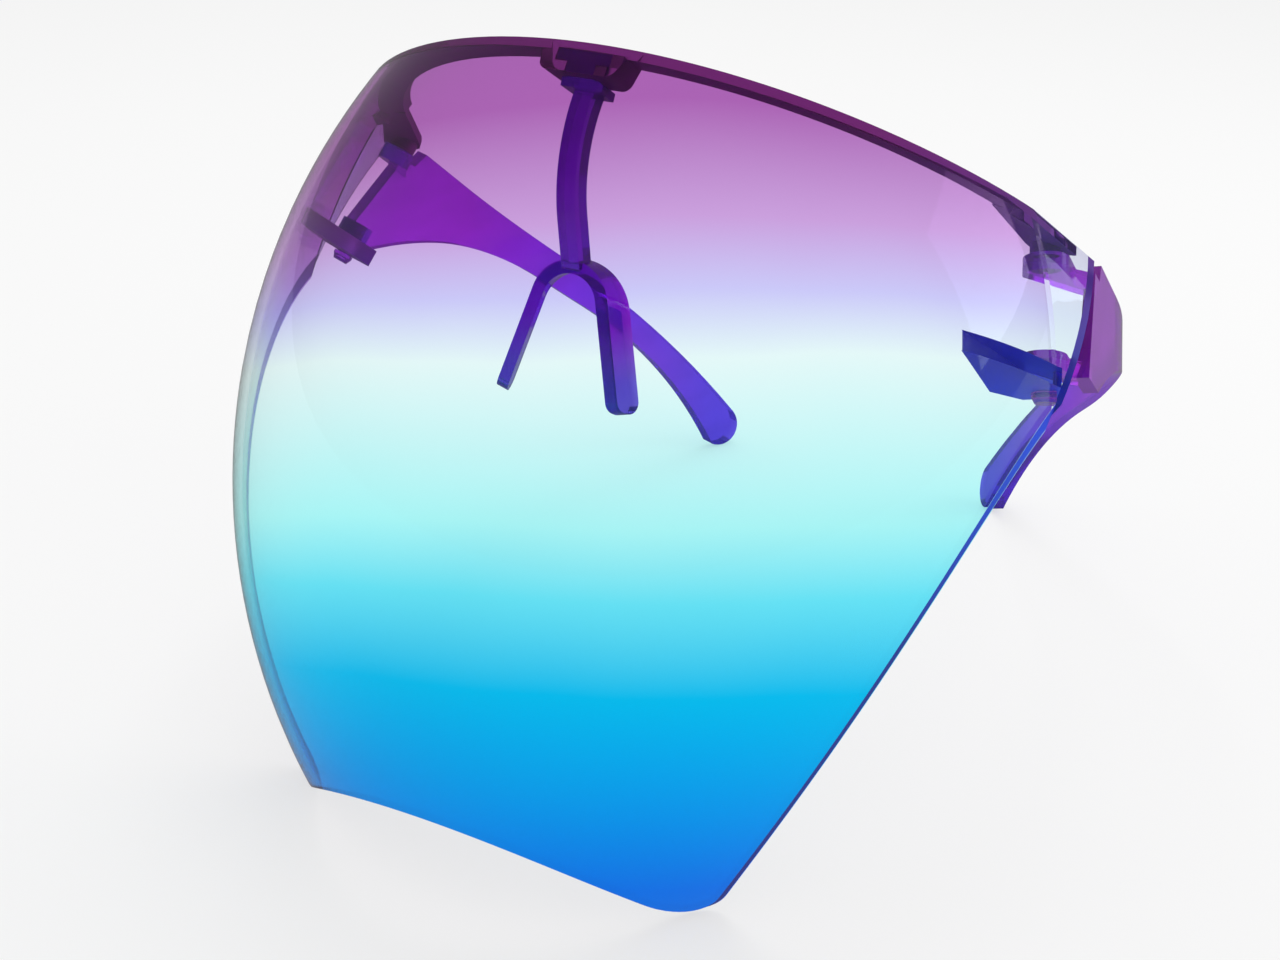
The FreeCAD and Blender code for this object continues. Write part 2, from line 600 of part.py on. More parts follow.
def build_nose_bridge():
    """Clip, curved strut and fork with two nose pads, moulded in one."""
    body = doc.addObject("PartDesign::Body", "nose_bridge")
    back = amount(SOCKET_BACK) - size("clip_proud")
    clip = body_sketch(body, "clip_outline", "XZ_Plane", Placement(Vector(0, 0, back), Rotation()))
    foot_top = "-sizes.socket_height - sizes.clip_clearance"
    foot_low = f"{foot_top} - sizes.foot_thick"
    draw(clip, [
        ("-sizes.clip_half_width", CLIP_TOP),
        ("-sizes.clip_half_width", CLIP_FOOT),
        ("-sizes.clip_neck", CLIP_FOOT),
        ("-sizes.clip_neck", foot_top),
        ("-sizes.foot_half_width", foot_top),
        ("-sizes.foot_half_width", foot_low),
        ("sizes.foot_half_width", foot_low),
        ("sizes.foot_half_width", foot_top),
        ("sizes.clip_neck", foot_top),
        ("sizes.clip_neck", CLIP_FOOT),
        ("sizes.clip_half_width", CLIP_FOOT),
        ("sizes.clip_half_width", CLIP_TOP),
    ])
    block = body.newObject("PartDesign::Pad", "clip")
    block.Profile = clip
    block.setExpression("Length", "sizes.clip_length + sizes.clip_proud")

    bow_y = "(sizes.strut_setback + sizes.strut_radius - sizes.brow_radius)"
    bow_z = "(-sizes.strut_level)"

    def strut_side(offset):
        """Top, turn and end of the strut's middle line moved forward, and its radius there."""
        radius = f"(sizes.strut_radius + {offset})"
        turn_y = f"{bow_y} - {radius} * cos(sizes.strut_turn)"
        turn_z = f"{bow_z} - {radius} * sin(sizes.strut_turn)"
        return (
            (f"{bow_y} - {radius} * cos(sizes.strut_rise)", f"{bow_z} + {radius} * sin(sizes.strut_rise)"),
            (turn_y, turn_z),
            (f"{turn_y} + sizes.strut_foot * sin(sizes.strut_turn)",
             f"{turn_z} - sizes.strut_foot * cos(sizes.strut_turn)"),
            radius)

    front_top, front_turn, front_end, front_radius = strut_side("sizes.strut_depth / 2")
    back_top, back_turn, back_end, back_radius = strut_side("-sizes.strut_depth / 2")
    strut = draw(body_sketch(body, "strut_outline", "YZ_Plane"), [
        (*front_top, front_radius, -1), front_turn, front_end,
        back_end, (*back_turn, back_radius, 1), back_top,
    ])
    bar = body.newObject("PartDesign::Pad", "strut")
    bar.Profile = strut
    bar.SideType = "Symmetric"
    bar.setExpression("Length", "sizes.strut_width")

    _, _, strut_end, _ = strut_side("0")
    arch_y, arch_z = amount(strut_end[0]) + size("fork_setback"), amount(strut_end[1])
    profiles = []
    for name, way, flare_share in (("fork_front", 0.5, 0), ("fork_back", -0.5, 1)):
        tilt = Rotation(Vector(1, 0, 0), size("fork_tilt"))
        shift = tilt.multVec(Vector(0, -size("pad_thick") / 2, way * size("pad_width")))
        place = Placement(Vector(0, arch_z, -arch_y) + shift, tilt)
        profile = body_sketch(body, name, "XZ_Plane", place)
        draw(profile, fork_outline(f"(sizes.fork_radius + {flare_share} * sizes.fork_flare)"))
        profiles.append(profile)
    fork = body.newObject("PartDesign::AdditiveLoft", "fork")
    fork.Profile = profiles[0]
    fork.Sections = profiles[1:]
    fork.Ruled = True
    doc.recompute()
    ends = body.newObject("PartDesign::Fillet", "pad_ends")
    ends.Base = (fork, [
        f"Edge{index}" for index, edge in enumerate(fork.Shape.Edges, start=1)
        if edge.CenterOfMass.z < arch_z - size("pad_length") * 0.9
        and abs(edge.Length - size("pad_thick")) < 1e-3
    ])
    ends.setExpression("Radius", "sizes.pad_round")
    body.Tip = ends
    return body


def fork_outline(radius):
    """Upside-down U of the nose pads, with its arch's inside top at the origin."""
    lean_x, lean_y = "sin(sizes.fork_splay)", "cos(sizes.fork_splay)"
    outside = f"({radius} + sizes.pad_thick)"

    def leg(bend, length):
        return (f"{bend} * {lean_y} + {length} * {lean_x}",
                f"{bend} * {lean_x} - {radius} - {length} * {lean_y}")

    def other(corner):
        return (f"-({corner[0]})", corner[1])

    arch_out, arch_in = leg(outside, "0"), leg(radius, "0")
    tip_out, tip_in = leg(outside, "sizes.pad_length"), leg(radius, "sizes.pad_length")
    return [
        other(tip_out), (*other(arch_out), outside, 1), arch_out, tip_out,
        tip_in, (*arch_in, radius, -1), other(arch_in), other(tip_in),
    ]


# The temples

def panel_front(height):
    """Station of a panel's front edge, behind the side return's rear edge, at a hinge frame height."""
    top = left_hinge_place.inverse().multVec(rear_top)
    foot = left_hinge_place.inverse().multVec(rear_foot)
    share = (amount(height) - foot.z) / (top.z - foot.z)
    return f"({foot.y + (top.y - foot.y) * share} + sizes.panel_gap)"


def build_temple(name, side):
    """One temple: a wide panel with two ears and pivot pegs, tapering to a bar and an ear hook.

    It is drawn in the hinge frame, and side is +1 for the wearer's left (+X) and -1 for the other.
    """
    body = doc.addObject("PartDesign::Body", name)

    def sided(outline):
        return [(f"{side} * ({corner[0]})", corner[1]) if len(corner) == 2
                else (f"{side} * ({corner[0]})", corner[1], corner[2], side * corner[3])
                for corner in outline]

    # seen from above: a straight front, an arc that turns inboard and a straight tail
    axis_x = "(sizes.temple_offset - sizes.temple_bow)"
    turn_x, turn_y = "cos(sizes.tail_heading)", "sin(sizes.tail_heading)"

    def ribbon(offset):
        bow = f"(sizes.temple_bow + {offset})"
        start = (f"{axis_x} + {bow}", "0")
        apex = (f"{axis_x} + {bow}", "sizes.temple_bow_station")
        bend = (f"{axis_x} + {bow} * {turn_x}", f"sizes.temple_bow_station + {bow} * {turn_y}")
        tail = f"(sizes.temple_length + sizes.temple_thick - ({bend[1]}))"
        end = (f"{bend[0]} - {tail} * {turn_y} / {turn_x}", f"{bend[1]} + {tail}")
        return bow, start, apex, bend, end

    bow_out, start_out, apex_out, bend_out, end_out = ribbon("sizes.temple_thick / 2")
    bow_in, start_in, apex_in, bend_in, end_in = ribbon("-sizes.temple_thick / 2")
    plan = draw(body_sketch(body, name + "_plan", "XY_Plane"), sided([
        start_out, (*apex_out, bow_out, -1), bend_out, end_out,
        end_in, (*bend_in, bow_in, 1), apex_in, start_in,
    ]))
    blank = body.newObject("PartDesign::Pad", name + "_blank")
    blank.Profile = plan
    blank.SideType = "Symmetric"
    blank.setExpression("Length", "4 * sizes.temple_top")

    # seen from the side: everything outside the temple's outline is cut away
    ear_top, ear_foot = EAR_TOP, "(-sizes.ear_span / 2)"
    panel_foot_y = ("(sizes.bar_station - sqrt(sizes.lower_edge_radius^2"
                    f" - (sizes.lower_edge_radius - sizes.bar_level + {ear_foot})^2))")
    cap = "(sizes.temple_length - sizes.tip_round)"
    cap_top = ("(sizes.temple_top - sizes.hook_radius"
               f" + sqrt(sizes.hook_radius^2 - ({cap} - sizes.hook_station)^2))")
    cap_foot = ("(sizes.bar_level - sizes.hook_foot_radius"
                f" + sqrt(sizes.hook_foot_radius^2 - ({cap} - sizes.bar_end)^2))")
    cap_radius = f"((({cap_top} - {cap_foot}) / 2)^2 + sizes.tip_round^2) / (2 * sizes.tip_round)"
    outside = draw(body_sketch(body, name + "_side", "YZ_Plane"), [
        (panel_front(ear_foot), ear_foot),
        (panel_front(ear_top), ear_top),
        (f"sizes.panel_step - (sizes.temple_top - {ear_top}) / 2", ear_top),
        ("sizes.panel_step", "sizes.temple_top"),
        ("sizes.hook_station", "sizes.temple_top", "sizes.hook_radius", 1),
        (cap, cap_top, cap_radius, 1),
        (cap, cap_foot, "sizes.hook_foot_radius", -1),
        ("sizes.bar_end", "sizes.bar_level"),
        ("sizes.bar_station", "sizes.bar_level", "sizes.lower_edge_radius", -1),
        (panel_foot_y, ear_foot),
    ])
    far, high = "(sizes.temple_length * 1.2)", "(3 * sizes.temple_top)"
    draw(outside, [(f"-{far}", f"-{high}"), (far, f"-{high}"), (far, high), (f"-{far}", high)], "frame")
    trim = body.newObject("PartDesign::Pocket", name + "_trim")
    trim.Profile = outside
    trim.Type = "ThroughAll"
    trim.SideType = "Symmetric"

    # the two ears, which reach inboard from the panel to the pivot, and their pegs
    def ear_outline(top):
        step = "(sizes.temple_offset - sizes.ear_radius)"
        root = panel_front(top)
        return sided([
            ("-sizes.ear_radius", "0", "sizes.ear_radius", -1),
            ("0", "-sizes.ear_radius", "sizes.ear_radius", -1),
            ("sizes.ear_radius", "0"),
            ("sizes.ear_radius", f"{root} - {step}"),
            ("sizes.temple_offset", root),
            ("sizes.temple_offset", f"{root} + sizes.ear_root"),
        ])

    snap_head = "sizes.peg_radius + sizes.peg_head"
    for level, foot, peg_from, peg_length in (
        ("upper", f"{ear_top} - sizes.ear_thick", ear_top,
         str(lug_height - amount(EAR_TOP) - size("lug_thick") / 2)),
        ("lower", ear_foot, SHELF_FOOT + " - 2 * sizes.hinge_play",
         "sizes.shelf_thick + 3 * sizes.hinge_play"),
    ):
        place = Placement(Vector(0, 0, amount(foot)), Rotation())
        ear = body.newObject("PartDesign::Pad", f"{name}_{level}_ear")
        outline = ear_outline(f"({foot} + sizes.ear_thick)")
        ear.Profile = draw(body_sketch(body, f"{name}_{level}_outline", "XY_Plane", place), outline)
        ear.setExpression("Length", "sizes.ear_thick")
        place = Placement(Vector(0, 0, amount(peg_from)), Rotation())
        peg = body.newObject("PartDesign::Pad", f"{name}_{level}_peg")
        peg_round = body_sketch(body, f"{name}_{level}_round", "XY_Plane", place)
        peg.Profile = circle(peg_round, "sizes.peg_radius")
        peg.setExpression("Length", peg_length)
    head_top = f"({SHELF_FOOT} - sizes.hinge_play)"
    head = body.newObject("PartDesign::Revolution", f"{name}_snap_head")
    head.Profile = draw(body_sketch(body, f"{name}_head_section", "XZ_Plane"), [
        ("0", head_top),
        ("0", f"{head_top} - 3 * sizes.peg_head"),
        ("sizes.peg_radius", f"{head_top} - 3 * sizes.peg_head"),
        (snap_head, f"{head_top} - sizes.peg_head"),
        (snap_head, head_top),
    ])
    head.ReferenceAxis = (head.Profile[0], ["V_Axis"])
    head.Angle = 360
    body.Tip = head
    return body


def lean_back(shield, temple):
    """Lean, in degrees, at which the chin and the temple tips touch the ground together."""
    tolerance = 0.02
    chin = shield.Shape.tessellate(tolerance)[0]
    tips = [left_hinge_place.multVec(point) for point in temple.Shape.tessellate(tolerance)[0]]

    def lowest(points, lean):
        return min(point.z * math.cos(lean) - point.y * math.sin(lean) for point in points)

    low, high = 0.0, math.radians(60)
    for _ in range(40):
        lean = (low + high) / 2
        if lowest(chin, lean) < lowest(tips, lean):
            low = lean
        else:
            high = lean
    return math.degrees(lean)


shield = build_shield()
nose_bridge = build_nose_bridge()
left_temple = build_temple("temple_plus_x", 1)
right_temple = build_temple("temple_minus_x", -1)
doc.recompute()

lean = Rotation(Vector(1, 0, 0), -lean_back(shield, left_temple))
places = {
    "shield": (shield, Placement()),
    "nose_bridge": (nose_bridge, Placement()),
    "left_temple": (left_temple, left_hinge_place),
    "right_temple": (right_temple, right_hinge_place),
}
for label, (piece, place) in places.items():
    piece.Label = label
    piece.Placement = Placement(Vector(), lean) * place
doc.recompute()
box = FreeCAD.BoundBox()
for piece, _ in places.values():
    box.add(piece.Shape.optimalBoundingBox(True, False))
lift = Placement(Vector(-(box.XMin + box.XMax) / 2, -(box.YMin + box.YMax) / 2, -box.ZMin), Rotation())
for piece, _ in places.values():
    piece.Placement = lift * piece.Placement
doc.recompute()

for item in doc.Objects:
    if "Invalid" in item.State or "Error" in item.State:
        raise RuntimeError(f"{item.Label} did not build: {item.State}")
os.makedirs("parts", exist_ok=True)
for label, (piece, _) in places.items():
    shape = piece.Shape
    if shape.isNull() or not shape.isValid():
        raise RuntimeError(f"{label} is not a valid shape")
    print(label, len(shape.Solids), "solids", round(shape.Volume), "mm3", shape.BoundBox)
    shape.exportStep(f"parts/{label}.step")
for label in ("left_temple", "right_temple"):
    place = places[label][0].Placement
    print(label, "pivot", place.Base, "upward axis", place.Rotation.multVec(Vector(0, 0, 1)))
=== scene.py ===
import math

import bpy
from bpy.props import FloatProperty, FloatVectorProperty, PointerProperty
from bpy.types import Operator, Panel, PropertyGroup
from mathutils import Matrix, Vector

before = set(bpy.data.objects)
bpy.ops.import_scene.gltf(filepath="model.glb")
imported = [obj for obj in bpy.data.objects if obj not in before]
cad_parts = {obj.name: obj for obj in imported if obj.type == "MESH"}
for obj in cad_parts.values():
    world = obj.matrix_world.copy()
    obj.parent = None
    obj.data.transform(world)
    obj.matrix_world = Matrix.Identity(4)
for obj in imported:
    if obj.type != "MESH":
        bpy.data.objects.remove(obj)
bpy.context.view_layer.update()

bl_info = {
    "name": "Face visor looks",
    "version": (1, 0, 0),
    "blender": (4, 5, 0),
    "location": "3D View > Sidebar > Visor",
    "description": "Finishes for a full-face visor and a studio to show it in",
    "category": "Object",
}


def linear(code):
    """Linear colour of an sRGB hex code."""
    parts = [int(code[place:place + 2], 16) / 255 for place in (0, 2, 4)]
    return tuple(
        part / 12.92 if part <= 0.04045 else ((part + 0.055) / 1.055) ** 2.4 for part in parts)


def colour_property(name, description, code):
    """A colour that the user can change, given as an sRGB hex code."""
    return FloatVectorProperty(
        name=name, description=description, subtype="COLOR", size=3, min=0, max=1, default=linear(code))


class LensFinish(PropertyGroup):
    """Dye and polish of the lens."""

    brow: colour_property("Brow", "Dye along the brow", "B066BA")
    upper: colour_property("Upper", "Dye at eye level", "CFA4E3")
    fading: colour_property("Fading", "Violet fading out below the eyes", "D0CEFF")
    clear: colour_property("Clear", "The clear band across the middle", "EAFFFF")
    cheek: colour_property("Cheek", "Blue coming in below the clear band", "AFFFFF")
    lip: colour_property("Lip", "Dye above the mouth", "6AECFF")
    mouth: colour_property("Mouth", "Dye at the level of the mouth", "00C6FA")
    chin: colour_property("Chin", "Dye along the chin", "007BFA")
    # the three rim colours are painted shade: they stand in for the light lost through the depth of cut
    # edges, ledges and lugs
    brow_rim: colour_property("Brow rim", "Ledge, lugs and cut edge along the brow", "962490")
    eye_rim: colour_property("Eye rim", "Shelves and cut edges at eye level", "0034FF")
    chin_rim: colour_property("Chin rim", "Cut edge along the chin", "00148C")
    lean: FloatProperty(
        name="Lean", description="How far the lens leans back", subtype="ANGLE",
        default=math.radians(28.5))
    dip_tilt: FloatProperty(
        name="Dip tilt", description="How far the lens hung to one side in the dye", subtype="ANGLE",
        default=math.radians(12.4))
    dip_pitch: FloatProperty(
        name="Dip pitch", description="How far the lens hung forwards in the dye", subtype="ANGLE",
        default=math.radians(5.7))
    ripple: FloatProperty(
        name="Ripple", description="Width of the moulding's waves", subtype="DISTANCE", unit="LENGTH",
        default=0.018)


class ArmFinish(PropertyGroup):
    """Colours of the nose bridge and the temples."""

    strut: colour_property("Strut", "Nose bridge held against the light, at its strut", "BE20F0")
    pads: colour_property("Pads", "Nose bridge held against the light, at its pads", "9A7CFF")
    bridge_depth: colour_property("Bridge depth", "Nose bridge seen edge-on", "A000E1")
    panel: colour_property("Panel", "Temple held against the light, at its panel", "D84AF8")
    hook: colour_property("Hook", "Temple held against the light, at its hook", "8460FF")
    temple_depth: colour_property("Temple depth", "Temple seen edge-on", "C200ED")


class StudioSettings(PropertyGroup):
    """Floor, lamps and camera."""

    paper: colour_property("Paper", "Floor and background", "F5F5F5")
    lamp_power: FloatProperty(
        name="Lamp", description="Power of the main lamp", subtype="POWER", default=2.8)
    sky: FloatProperty(
        name="Sky", description="Strength of the even light from all round", default=0.9)
    mirrored: FloatProperty(
        name="Mirrored", description="Brightness of the set in the gloss", default=0.3)


def pattern_scale(width_mm):
    """Noise scale for marks of this width, as Object coordinates are in metres."""
    return 1000 / width_mm


def add_node(tree, kind, settings=None, values=None, links=None):
    """Add a node with its settings, its socket values and the outputs that feed it."""
    node = tree.nodes.new(kind)
    for name, setting in (settings or {}).items():
        setattr(node, name, setting)
    for name, value in (values or {}).items():
        node.inputs[name].default_value = value
    for name, output in (links or {}).items():
        tree.links.new(output, node.inputs[name])
    return node


def new_material(name):
    """An empty node material, replacing an earlier one of that name."""
    old = bpy.data.materials.get(name)
    if old:
        bpy.data.materials.remove(old)
    material = bpy.data.materials.new(name)
    material.use_nodes = True
    material.node_tree.nodes.clear()
    return material


def fill_ramp(ramp, stops):
    """Give a colour ramp its stops, each a place and a linear colour."""
    elements = ramp.color_ramp.elements
    while len(elements) > 1:
        elements.remove(elements[-1])
    for index, (place, colour) in enumerate(stops):
        element = elements[0] if index == 0 else elements.new(place)
        element.position = place
        element.color = (*colour, 1)


# The lens's own frame: its upright axis meets the level of the brow here, and its side view is an
# arc of this radius whose middle lies this far beyond the axis and below the brow.
LENS_FOOT = Vector((0, 0.0111, 0.1098))
BOW_BEYOND, BOW_DROP = 0.0446, 0.0575
BOW_RADIUS, WALL = 0.130, 0.0018

# A place lies behind the creases where its run along this way passes this mark, and in a side
# return where its run outwards, from the middle, passes the return's inner skin.
CREASE_WAY, CREASE_MARK = (0, 1, 0.139), -0.027
RETURN_WAY, RETURN_MARK = (0.879, -0.408, 0.244), 0.0683

# The dye runs between these two levels of the crooked dip.
DYE_FOOT, DYE_TOP = -0.1415, 0.0085

# The dye line wanders by this height, over stretches of this width in millimetres.
WANDER_HEIGHT, WANDER_WIDTH = 0.008, 71.4

# A face counts as wall where its normal agrees with the lens's, from the first share to the second.
WALL_FROM, WALL_FULL = 0.6, 0.8

# Distances from the middle of the wall, as shares of it: a cut edge lies nearer than the skins, which
# start between the first two, and ledges, lugs and shelves lie beyond the last.
SKIN_FROM, SKIN_FULL, SKIN_END = 0.38, 0.44, 0.65

# Share of the way towards the clear colour that the returns are drawn, and the clearness and roughness
# of cut edges, whose low clearness lets the painted-shade rim colour show.
RETURN_TO_CLEAR = 0.6
EDGE_CLEARNESS, EDGE_ROUGHNESS = 0.45, 0.45

# Width of the wipe marks in millimetres, and the most that they roughen the polish.
WIPE_WIDTH, WIPE_ROUGHNESS = 3.03, 0.02


def dyed_polycarbonate(look):
    """Injection-moulded polycarbonate, dip-dyed from both ends.

    The dye fades into a clear band, the polish is almost perfect, and slow moulding waves bend
    the reflections a little. Cut edges, ledges and lugs are seen through their depth, so they are
    given far deeper colours than the thin wall: painted shade for the light lost on its way through
    them.
    """
    material = new_material("dip_dyed_polycarbonate")
    tree = material.node_tree
    coordinates = add_node(tree, "ShaderNodeTexCoord")
    place = coordinates.outputs["Object"]
    turn = Matrix.Rotation(look.lean, 3, "X")
    lens = add_node(
        tree, "ShaderNodeMapping", {"vector_type": "POINT"},
        {"Rotation": (look.lean, 0, 0), "Location": -(turn @ LENS_FOOT)},
        {"Vector": place}).outputs["Vector"]
    height = add_node(
        tree, "ShaderNodeVectorMath", {"operation": "DOT_PRODUCT"},
        {1: (-math.tan(look.dip_tilt), -math.tan(look.dip_pitch), 1)}, {0: lens})
    # the dye line wanders by a few millimetres, as the lens was dipped by hand
    wander = add_node(
        tree, "ShaderNodeTexNoise", None, {"Scale": pattern_scale(WANDER_WIDTH), "Detail": 2.0},
        {"Vector": place})
    drift = add_node(
        tree, "ShaderNodeMath", {"operation": "MULTIPLY_ADD"}, {1: WANDER_HEIGHT, 2: -WANDER_HEIGHT / 2},
        {0: wander.outputs["Fac"]})
    level = add_node(
        tree, "ShaderNodeMath", {"operation": "ADD"}, None,
        {0: height.outputs["Value"], 1: drift.outputs["Value"]})
    share = add_node(
        tree, "ShaderNodeMapRange", None, {"From Min": DYE_FOOT, "From Max": DYE_TOP},
        {"Value": level.outputs["Value"]}).outputs["Result"]
    dye = add_node(tree, "ShaderNodeValToRGB", links={"Fac": share})
    fill_ramp(dye, [
        (0.0, look.chin), (0.25, look.mouth), (0.36, look.lip), (0.44, look.cheek),
        (0.62, look.clear), (0.69, look.fading), (0.77, look.upper), (0.91, look.brow)])
    # painted shade: the darker rim colours stand in for the light lost through the depth of cut edges,
    # ledges and lugs
    painted_rim_shade = add_node(tree, "ShaderNodeValToRGB", links={"Fac": share})
    fill_ramp(painted_rim_shade, [(0.3, look.chin_rim), (0.6, look.eye_rim), (0.88, look.brow_rim)])

    # how far a face agrees with the lens surface: 1 on the wall, 0 on a cut edge or a ledge
    flat = add_node(
        tree, "ShaderNodeVectorMath", {"operation": "MULTIPLY"}, {1: (1, 1, 0)}, {0: lens})
    outward = add_node(
        tree, "ShaderNodeVectorMath", {"operation": "NORMALIZE"}, None, {0: flat.outputs["Vector"]})
    beyond = add_node(
        tree, "ShaderNodeVectorMath", {"operation": "MULTIPLY_ADD"},
        {1: (BOW_BEYOND,) * 3, 2: (0, 0, BOW_DROP)}, {0: outward.outputs["Vector"]})
    spoke = add_node(
        tree, "ShaderNodeVectorMath", {"operation": "ADD"}, None,
        {0: lens, 1: beyond.outputs["Vector"]})
    lens_normal = add_node(
        tree, "ShaderNodeVectorMath", {"operation": "NORMALIZE"}, None, {0: spoke.outputs["Vector"]})
    facing = add_node(
        tree, "ShaderNodeMapping", {"vector_type": "NORMAL"}, {"Rotation": (look.lean, 0, 0)},
        {"Vector": coordinates.outputs["Normal"]})
    along = add_node(
        tree, "ShaderNodeVectorMath", {"operation": "DOT_PRODUCT"}, None,
        {0: lens_normal.outputs["Vector"], 1: facing.outputs["Vector"]})
    size = add_node(
        tree, "ShaderNodeMath", {"operation": "ABSOLUTE"}, None, {0: along.outputs["Value"]})
    level_with_wall = add_node(
        tree, "ShaderNodeMapRange", None, {"From Min": WALL_FROM, "From Max": WALL_FULL},
        {"Value": size.outputs["Value"]})
    # a slanting cut lies between the two skins of the wall, and ledges, lugs and shelves lie off it
    reach = add_node(
        tree, "ShaderNodeVectorMath", {"operation": "LENGTH"}, None, {0: spoke.outputs["Vector"]})
    inside = add_node(
        tree, "ShaderNodeMath", {"operation": "SUBTRACT"}, {1: BOW_RADIUS - WALL / 2},
        {0: reach.outputs["Value"]})
    depth = add_node(
        tree, "ShaderNodeMath", {"operation": "ABSOLUTE"}, None, {0: inside.outputs["Value"]})
    off_middle = add_node(
        tree, "ShaderNodeMapRange", None, {"From Min": WALL * SKIN_FROM, "From Max": WALL * SKIN_FULL},
        {"Value": depth.outputs["Value"]})
    near_wall = add_node(
        tree, "ShaderNodeMath", {"operation": "LESS_THAN"}, {1: WALL * SKIN_END},
        {0: depth.outputs["Value"]})
    on_skin = add_node(
        tree, "ShaderNodeMath", {"operation": "MULTIPLY"}, None,
        {0: off_middle.outputs["Result"], 1: near_wall.outputs["Value"]})
    # both returns lie behind the creases, and one test serves them, as they mirror each other
    across = add_node(tree, "ShaderNodeSeparateXYZ", links={"Vector": lens})
    backward = add_node(
        tree, "ShaderNodeVectorMath", {"operation": "DOT_PRODUCT"}, {1: CREASE_WAY}, {0: lens})
    behind = add_node(
        tree, "ShaderNodeMath", {"operation": "GREATER_THAN"}, {1: CREASE_MARK},
        {0: backward.outputs["Value"]})
    from_middle = add_node(
        tree, "ShaderNodeMath", {"operation": "ABSOLUTE"}, None, {0: across.outputs["X"]})
    halved = add_node(
        tree, "ShaderNodeCombineXYZ", None, None,
        {"X": from_middle.outputs["Value"], "Y": across.outputs["Y"], "Z": across.outputs["Z"]})
    outwards = add_node(
        tree, "ShaderNodeVectorMath", {"operation": "DOT_PRODUCT"}, {1: RETURN_WAY},
        {0: halved.outputs["Vector"]})
    in_return = add_node(
        tree, "ShaderNodeMath", {"operation": "GREATER_THAN"}, {1: RETURN_MARK},
        {0: outwards.outputs["Value"]})
    on_return = add_node(
        tree, "ShaderNodeMath", {"operation": "MULTIPLY"}, None,
        {0: behind.outputs["Value"], 1: in_return.outputs["Value"]})
    uncut = add_node(
        tree, "ShaderNodeMath", {"operation": "MAXIMUM"}, None,
        {0: on_skin.outputs["Value"], 1: on_return.outputs["Value"]})
    wall = add_node(
        tree, "ShaderNodeMath", {"operation": "MULTIPLY"}, None,
        {0: level_with_wall.outputs["Result"], 1: uncut.outputs["Value"]})
    # the returns are drawn most of the way towards the clear colour
    toward_clear = add_node(
        tree, "ShaderNodeMath", {"operation": "MULTIPLY"}, {1: RETURN_TO_CLEAR},
        {0: on_return.outputs["Value"]})
    skin_colour = add_node(
        tree, "ShaderNodeMix", {"data_type": "RGBA"}, {"B": (*look.clear, 1)},
        {"Factor": toward_clear.outputs["Value"], "A": dye.outputs["Color"]})
    # the wall keeps the dye, and cut edges, ledges and lugs get the darker rim colours, which are
    # painted shade
    colour = add_node(
        tree, "ShaderNodeMix", {"data_type": "RGBA"}, None,
        {"Factor": wall.outputs["Value"], "A": painted_rim_shade.outputs["Color"], "B": skin_colour.outputs["Result"]})

    # the skins of the lens are bent smoothly by the true curve, not facet by facet
    side = add_node(
        tree, "ShaderNodeMath", {"operation": "SIGN"}, None, {0: along.outputs["Value"]})
    outer = add_node(
        tree, "ShaderNodeVectorMath", {"operation": "SCALE"}, None,
        {"Vector": lens_normal.outputs["Vector"], "Scale": side.outputs["Value"]})
    leaned = add_node(
        tree, "ShaderNodeMapping", {"vector_type": "NORMAL"}, {"Rotation": (-look.lean, 0, 0)},
        {"Vector": outer.outputs["Vector"]})
    curve = add_node(
        tree, "ShaderNodeVectorTransform",
        {"vector_type": "NORMAL", "convert_from": "OBJECT", "convert_to": "WORLD"}, None,
        {"Vector": leaned.outputs["Vector"]})
    on_lens = add_node(
        tree, "ShaderNodeMath", {"operation": "SUBTRACT", "use_clamp": True}, None,
        {0: wall.outputs["Value"], 1: on_return.outputs["Value"]})
    facet = add_node(tree, "ShaderNodeNewGeometry")
    skin = add_node(
        tree, "ShaderNodeMix", {"data_type": "VECTOR"}, None,
        {"Factor": on_lens.outputs["Value"], "A": facet.outputs["Normal"], "B": curve.outputs["Vector"]})
    waves = add_node(
        tree, "ShaderNodeTexNoise", None, {"Scale": 1 / look.ripple, "Detail": 1.0}, {"Vector": place})
    bump = add_node(
        tree, "ShaderNodeBump", None, {"Strength": 0.02, "Distance": 0.0004},
        {"Height": waves.outputs["Fac"], "Normal": skin.outputs["Result"]})
    # faint wipe marks in an otherwise even polish
    wipes = add_node(
        tree, "ShaderNodeTexNoise", None,
        {"Scale": pattern_scale(WIPE_WIDTH), "Detail": 4.0, "Roughness": 0.7}, {"Vector": place})
    polish = add_node(
        tree, "ShaderNodeMapRange", None,
        {"From Min": 0.3, "From Max": 0.8, "To Min": 0.0, "To Max": WIPE_ROUGHNESS},
        {"Value": wipes.outputs["Fac"]})
    # cut edges are rougher, and they let less light through so that the rim colour shows: painted shade
    # for the light lost in their depth
    roughness = add_node(
        tree, "ShaderNodeMix", {"data_type": "FLOAT"}, {"A": EDGE_ROUGHNESS},
        {"Factor": wall.outputs["Value"], "B": polish.outputs["Result"]})
    clearness = add_node(
        tree, "ShaderNodeMapRange", None, {"To Min": EDGE_CLEARNESS, "To Max": 1.0},
        {"Value": wall.outputs["Value"]})
    shader = add_node(
        tree, "ShaderNodeBsdfPrincipled", None,
        {"IOR": 1.45, "Specular IOR Level": 0.3, "Specular Tint": (0.3, 0.3, 0.35, 1)},
        {"Base Color": colour.outputs["Result"], "Transmission Weight": clearness.outputs["Result"],
         "Roughness": roughness.outputs["Result"], "Normal": bump.outputs["Normal"]})
    add_node(tree, "ShaderNodeOutputMaterial", links={"Surface": shader.outputs["BSDF"]})
    return material


# Marks in the tinted plastic, by width in millimetres: flow lines, unevenness of the polish and
# moulding waves.
FLOW_WIDTH, POLISH_WIDTH, WAVE_WIDTH = 6.25, 4, 11.11

